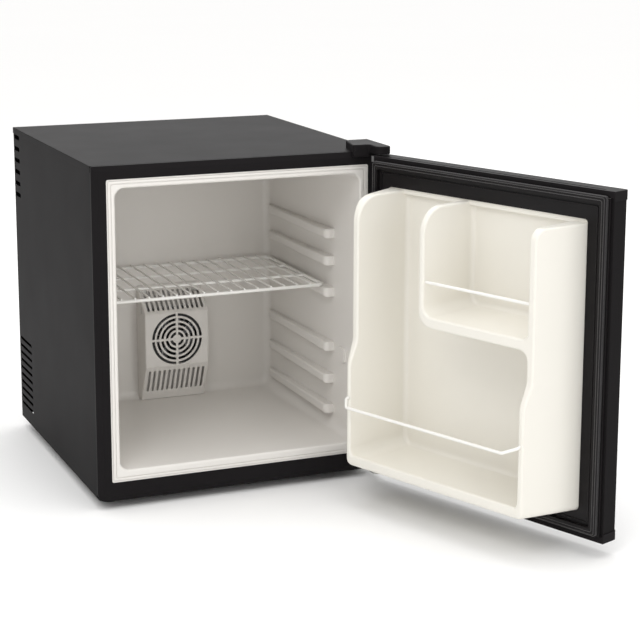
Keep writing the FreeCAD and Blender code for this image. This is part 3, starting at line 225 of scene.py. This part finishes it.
def black_plastic():
    """Moulded black ABS with a fine spark texture."""
    s = Shader("black_plastic", 0.45, specular=0.03)
    s.drift((0.0130, 0.0118, 0.0125), 0.08, 9.0)
    s.gloss(0.42, 0.48, 25.0)
    s.relief([(s.cells(1400.0), 0.000012)], 0.0006)
    return s.material


def white_liner():
    """Vacuum-formed white polystyrene: semi-gloss, faintly rippled by the draw."""
    s = Shader("white_liner", 0.34, specular=0.45)
    s.drift((0.78, 0.755, 0.72), 0.015, 4.0)
    s.gloss(0.30, 0.38, 18.0)
    s.relief([(s.noise(28.0, 2.0), 0.00010), (s.noise(700.0, 2.0), 0.00001)], 0.0008)
    return s.material


def cream_liner():
    """The door's formed liner, a little warmer and glossier than the cabinet's."""
    s = Shader("cream_liner", 0.30, specular=0.45)
    s.drift((0.81, 0.785, 0.72), 0.012, 4.0)
    s.gloss(0.28, 0.34, 18.0)
    s.relief([(s.noise(24.0, 2.0), 0.00010), (s.noise(700.0, 2.0), 0.00001)], 0.0008)
    return s.material


def soft_gasket(name="soft_gasket", base=(0.0085, 0.0075, 0.0080), specular=0.15):
    """Dark flexible vinyl with a soft sheen."""
    s = Shader(name, 0.3, specular=specular)
    s.drift(base, 0.10, 14.0)
    s.gloss(0.27, 0.34, 60.0)
    s.relief([(s.noise(500.0, 3.0), 0.00003), (s.noise(25.0, 1.0), 0.0002)], 0.0005)
    return s.material


def dipped_wire():
    """White plastic coat on wire, thicker in places where it ran."""
    s = Shader("dipped_wire", 0.28, specular=0.5, coat=0.25, coat_roughness=0.15)
    s.drift((0.86, 0.85, 0.82), 0.03, 30.0)
    s.relief([(s.noise(160.0, 2.0), 0.0002)], 0.0006)
    return s.material


def zinc_steel():
    """Zinc-plated steel, faintly brushed and uneven in gloss."""
    s = Shader("zinc_steel", 0.34, metallic=1.0)
    s.drift((0.60, 0.60, 0.58), 0.12, 120.0)
    s.gloss(0.26, 0.44, 300.0)
    s.relief([(s.noise(1.0, 4.0, place=s.stretched((3000.0, 300.0, 3000.0))), 0.00003)], 0.0004)
    return s.material


def extruded_aluminium():
    """Bare aluminium with fine lines along the extrusion."""
    s = Shader("extruded_aluminium", 0.36, metallic=1.0)
    s.drift((0.80, 0.80, 0.81), 0.06, 40.0)
    s.gloss(0.28, 0.44, 200.0)
    s.relief([(s.noise(1.0, 4.0, place=s.stretched((4000.0, 4000.0, 80.0))), 0.00004)], 0.0003)
    return s.material


def matt_plastic(name, base, grain=900.0):
    """Injection-moulded part with a matt, spark-eroded grain."""
    s = Shader(name, 0.55, specular=0.4)
    s.drift(base, 0.10, 20.0)
    s.gloss(0.48, 0.62, 80.0)
    s.relief([(s.cells(grain), 0.00006)], 0.0005)
    return s.material


def foot_rubber():
    """Black rubber, matt and slightly pitted."""
    s = Shader("foot_rubber", 0.75, specular=0.3)
    s.drift((0.022, 0.021, 0.021), 0.15, 60.0)
    s.relief([(s.noise(700.0, 4.0), 0.00012)], 0.001)
    return s.material


def rigid_foam():
    """Dark grey cellular insulation, seen only through the vents."""
    s = Shader("rigid_foam", 0.9, specular=0.2)
    s.drift((0.055, 0.055, 0.060), 0.10, 60.0)
    s.relief([(s.cells(700.0), 0.0004)], 0.001)
    return s.material


def ceramic():
    """Off-white ceramic of the thermoelectric module."""
    s = Shader("ceramic", 0.5)
    s.drift((0.82, 0.82, 0.80), 0.04, 200.0)
    s.relief([(s.noise(1500.0, 3.0), 0.00003)], 0.0003)
    return s.material


def floor_paper():
    """Pale, nearly matt studio paper."""
    s = Shader("floor_paper", 0.85, specular=0.1)
    s.drift((0.96, 0.96, 0.96), 0.005, 1.0)
    s.relief([(s.noise(400.0, 3.0), 0.0001)], 0.001)
    return s.material


SLOT_MATERIALS = {
    "cabinet_paint": black_paint(),
    "frame_plastic": black_plastic(),
    "liner_white": white_liner(),
    "door_liner_cream": cream_liner(),
    "gasket": soft_gasket(),
    "magnet": matt_plastic("magnet_strip", (0.05, 0.045, 0.04)),
    "shelf_coat": dipped_wire(),
    "foam": rigid_foam(),
    "foot_rubber": foot_rubber(),
    "zinc_steel": zinc_steel(),
    "fan_plastic": matt_plastic("fan_plastic", (0.020, 0.020, 0.022)),
    "sink_aluminium": extruded_aluminium(),
    "module_ceramic": ceramic(),
    "supply_case": matt_plastic("supply_case", (0.22, 0.225, 0.23)),
    "rear_plastic": matt_plastic("rear_plastic", (0.030, 0.030, 0.031), 500.0),
    "hinge_bush": matt_plastic("hinge_bush", (0.13, 0.13, 0.13)),
    "knob_plastic": matt_plastic("knob_plastic", (0.028, 0.028, 0.030), 700.0),
}

for entry in frame["record"]["subparts"]:
    mesh = nodes[entry["node"]].data
    mesh.materials.clear()
    mesh.materials.append(SLOT_MATERIALS[entry["material_slot"]])


# ---------------------------------------------------------------- moulded details

HINGE = next(joint for joint in frame["joints"] if joint["name"] == "door_hinge")
SHUT = math.radians(HINGE["range_deg"][0])


def door_turn(angle):
    """The turn by an angle about the door's hinge."""
    centre = Vector(HINGE["pos_m"])
    return Matrix.Translation(centre) @ Matrix.Rotation(angle, 4, "Z") @ Matrix.Translation(-centre)


def shut_box(node):
    """A door node's lowest and highest corners with the door turned shut, square to the axes."""
    turn = door_turn(SHUT)
    points = [turn @ v.co for v in nodes[node].data.vertices]
    return [Vector([pick(p[i] for p in points) for i in range(3)]) for pick in (min, max)]


def piece(name, mesh_parts, material, body, turn=None):
    """One mesh from several lists of vertices and faces, turned if asked, riding on a body."""
    build = bmesh.new()
    for vertices, faces in mesh_parts:
        made = [build.verts.new(v) for v in vertices]
        for face in faces:
            build.faces.new([made[i] for i in face])
    bmesh.ops.recalc_face_normals(build, faces=build.faces)
    if turn:
        build.transform(turn)
    mesh = bpy.data.meshes.new(name)
    build.to_mesh(mesh)
    build.free()
    mesh.shade_smooth()
    mesh.materials.append(material)
    obj = bpy.data.objects.new(name, mesh)
    bpy.context.scene.collection.objects.link(obj)
    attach(obj, body)


def rounded_loop(x0, x1, z0, z1, radius, steps=6):
    """Points and outward directions round a rectangle with rounded corners, in x and z."""
    loop = []
    corners = ((x1, z1, 1, 1, 0), (x0, z1, -1, 1, 90), (x0, z0, -1, -1, 180), (x1, z0, 1, -1, 270))
    for x, z, sx, sz, start in corners:
        for i in range(steps + 1):
            angle = math.radians(start + 90 * i / steps)
            out = Vector((math.cos(angle), 0, math.sin(angle)))
            loop.append((Vector((x - sx * radius, 0, z - sz * radius)) + out * radius, out))
    return loop


def bead(loop, level, width, rise, outwards=False, steps=6):
    """Half-round bead along a closed loop, rising from the loop's plane or outwards from its side."""
    sunk = -rise * BEAD_SINK
    profile = [(-width / 2, sunk)]
    for i in range(steps + 1):
        angle = math.pi * (1 - i / steps)
        profile.append((math.cos(angle) * width / 2, math.sin(angle) * rise))
    profile.append((width / 2, sunk))
    if outwards:
        profile = [(b, a) for a, b in profile]
    count = len(profile)
    vertices = [p + out * a + Vector((0, level + b, 0)) for p, out in loop for a, b in profile]
    faces = []
    for i in range(len(loop)):
        here, ahead = i * count, (i + 1) % len(loop) * count
        for k in range(count):
            after = (k + 1) % count
            faces.append((here + k, here + after, ahead + after, ahead + k))
    return vertices, faces


def gasket_ridges():
    """The seal's folds: fine ridges on the face that meets the frame and round its outer flank, coloured
    paler than the seal as a painted highlight along them.
    """
    low, high = shut_box("gasket_magnets")
    face = shut_box("door_gasket")[1].y
    parts = []
    for inset in FACE_FOLD_INSETS:
        loop = rounded_loop(low.x + inset, high.x - inset, low.z + inset, high.z - inset, FACE_FOLD_RADIUS)
        parts.append(bead(loop, face - FACE_FOLD_SINK, FACE_FOLD_WIDTH, FACE_FOLD_RISE))
    flank = rounded_loop(low.x - FLANK_WALL, high.x + FLANK_WALL, low.z - FLANK_WALL, high.z + FLANK_WALL,
                         FLANK_RADIUS)
    for depth in FLANK_DEPTHS:
        parts.append(bead(flank, face - depth, FLANK_FOLD_WIDTH, FLANK_FOLD_RISE, outwards=True))
    # Painted highlight: the ridges get a paler, shinier copy of the gasket vinyl so they show as bright
    # lines
    painted_highlight_fold = soft_gasket("gasket_fold", (0.035, 0.033, 0.034), 0.6)
    piece("gasket_ridges", parts, painted_highlight_fold, "door", door_turn(-SHUT))


def knob_mark(centre, angle, start, reach):
    """One raised mark that points away from the knob's centre, narrower at its crest."""
    out = Vector((math.cos(angle), 0, math.sin(angle)))
    side = Vector((-out.z, 0, out.x))
    corners = []
    for half_width, lift in ((MARK_FOOT, 0), (MARK_CREST, MARK_LIFT)):
        for along in (start, start + reach):
            for sign in (-1, 1):
                corners.append(centre + out * along + side * half_width * sign + Vector((0, lift, 0)))
    faces = [(0, 1, 3, 2), (4, 6, 7, 5), (0, 4, 5, 1), (2, 3, 7, 6), (0, 2, 6, 4), (1, 5, 7, 3)]
    return corners, faces


def knob_scale():
    """Pale marks round the temperature knob, longer towards the cold end."""
    low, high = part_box("thermostat_knob")
    middle = (low + high) / 2
    centre = Vector((middle.x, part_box("rear_cover")[1].y, middle.z))
    start = (high.x - low.x) / 2 + MARK_CLEARANCE
    parts = []
    for i in range(MARKS):
        angle = math.radians(MARK_START - MARK_STEP * i)
        parts.append(knob_mark(centre, angle, start, MARK_SHORTEST + MARK_GROWTH * i))
    print_white = matt_plastic("scale_print", (0.62, 0.62, 0.60))
    piece("knob_scale", parts, print_white, "cabinet")


gasket_ridges()
knob_scale()


# ---------------------------------------------------------------- stage, light and camera

def floor():
    """A plain pale floor that runs to the horizon."""
    half = FLOOR_HALF
    mesh = bpy.data.meshes.new("floor")
    corners = [(-half, -half, 0), (half, -half, 0), (half, half, 0), (-half, half, 0)]
    mesh.from_pydata(corners, [], [(0, 1, 2, 3)])
    obj = bpy.data.objects.new("floor", mesh)
    bpy.context.scene.collection.objects.link(obj)
    mesh.materials.append(floor_paper())


def world():
    """A studio's even light: brighter overhead than at the horizon, and a pale backdrop where seen."""
    studio = bpy.data.worlds.new("studio")
    studio.use_nodes = True
    tree = studio.node_tree
    place = tree.nodes.new("ShaderNodeTexCoord")
    parts = tree.nodes.new("ShaderNodeSeparateXYZ")
    height = tree.nodes.new("ShaderNodeMapRange")
    height.inputs["To Min"].default_value = STUDIO_HORIZON
    height.inputs["To Max"].default_value = STUDIO_ZENITH
    tree.links.new(place.outputs["Generated"], parts.inputs["Vector"])
    tree.links.new(parts.outputs["Z"], height.inputs["Value"])
    light = tree.nodes["Background"]
    light.inputs["Color"].default_value = STUDIO_TINT
    tree.links.new(height.outputs["Result"], light.inputs["Strength"])
    backdrop = tree.nodes.new("ShaderNodeBackground")
    backdrop.inputs["Color"].default_value = BACKDROP_TINT
    seen = tree.nodes.new("ShaderNodeLightPath").outputs["Is Camera Ray"]
    choice = tree.nodes.new("ShaderNodeMixShader")
    tree.links.new(seen, choice.inputs[0])
    tree.links.new(light.outputs["Background"], choice.inputs[1])
    tree.links.new(backdrop.outputs["Background"], choice.inputs[2])
    tree.links.new(choice.outputs["Shader"], tree.nodes["World Output"].inputs["Surface"])
    bpy.context.scene.world = studio


def softbox(name, place, target, size, power):
    """A rectangular light at a place, turned to its target and not seen itself."""
    light = bpy.data.lights.new(name, "AREA")
    light.shape = "RECTANGLE"
    light.size, light.size_y = size
    light.energy = power
    obj = bpy.data.objects.new(name, light)
    obj.location = place
    obj.visible_camera = False
    direction = Vector(target) - Vector(place)
    obj.rotation_euler = direction.to_track_quat("-Z", "Y").to_euler()
    bpy.context.scene.collection.objects.link(obj)


def camera():
    """Eye height and distance of a person a few steps in front, to the left of the fridge."""
    yaw, pitch, roll = (math.radians(a) for a in (CAMERA_YAW, CAMERA_PITCH, CAMERA_ROLL))
    data = bpy.data.cameras.new("camera")
    data.sensor_width = CAMERA_SENSOR
    data.lens = CAMERA_LENS
    data.shift_y = CAMERA_SHIFT_Y
    data.clip_start = CAMERA_NEAR
    data.clip_end = CAMERA_FAR
    obj = bpy.data.objects.new("camera", data)
    turn = Matrix.Rotation(-yaw, 4, "Z")
    turn = turn @ Matrix.Rotation(math.pi / 2 - pitch, 4, "X")
    turn = turn @ Matrix.Rotation(roll, 4, "Z")
    obj.matrix_world = Matrix.Translation(CAMERA_EYE) @ turn
    bpy.context.scene.collection.objects.link(obj)
    bpy.context.scene.camera = obj


floor()
world()
aims = {"object": cad_box, "top_panel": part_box("top_panel")}
for name, place, aim, size, power in STUDIO_LIGHTS:
    low, high = aims[aim]
    softbox(name, place, (low + high) / 2, size, power)
camera()
bpy.context.scene.view_settings.view_transform = "Standard"
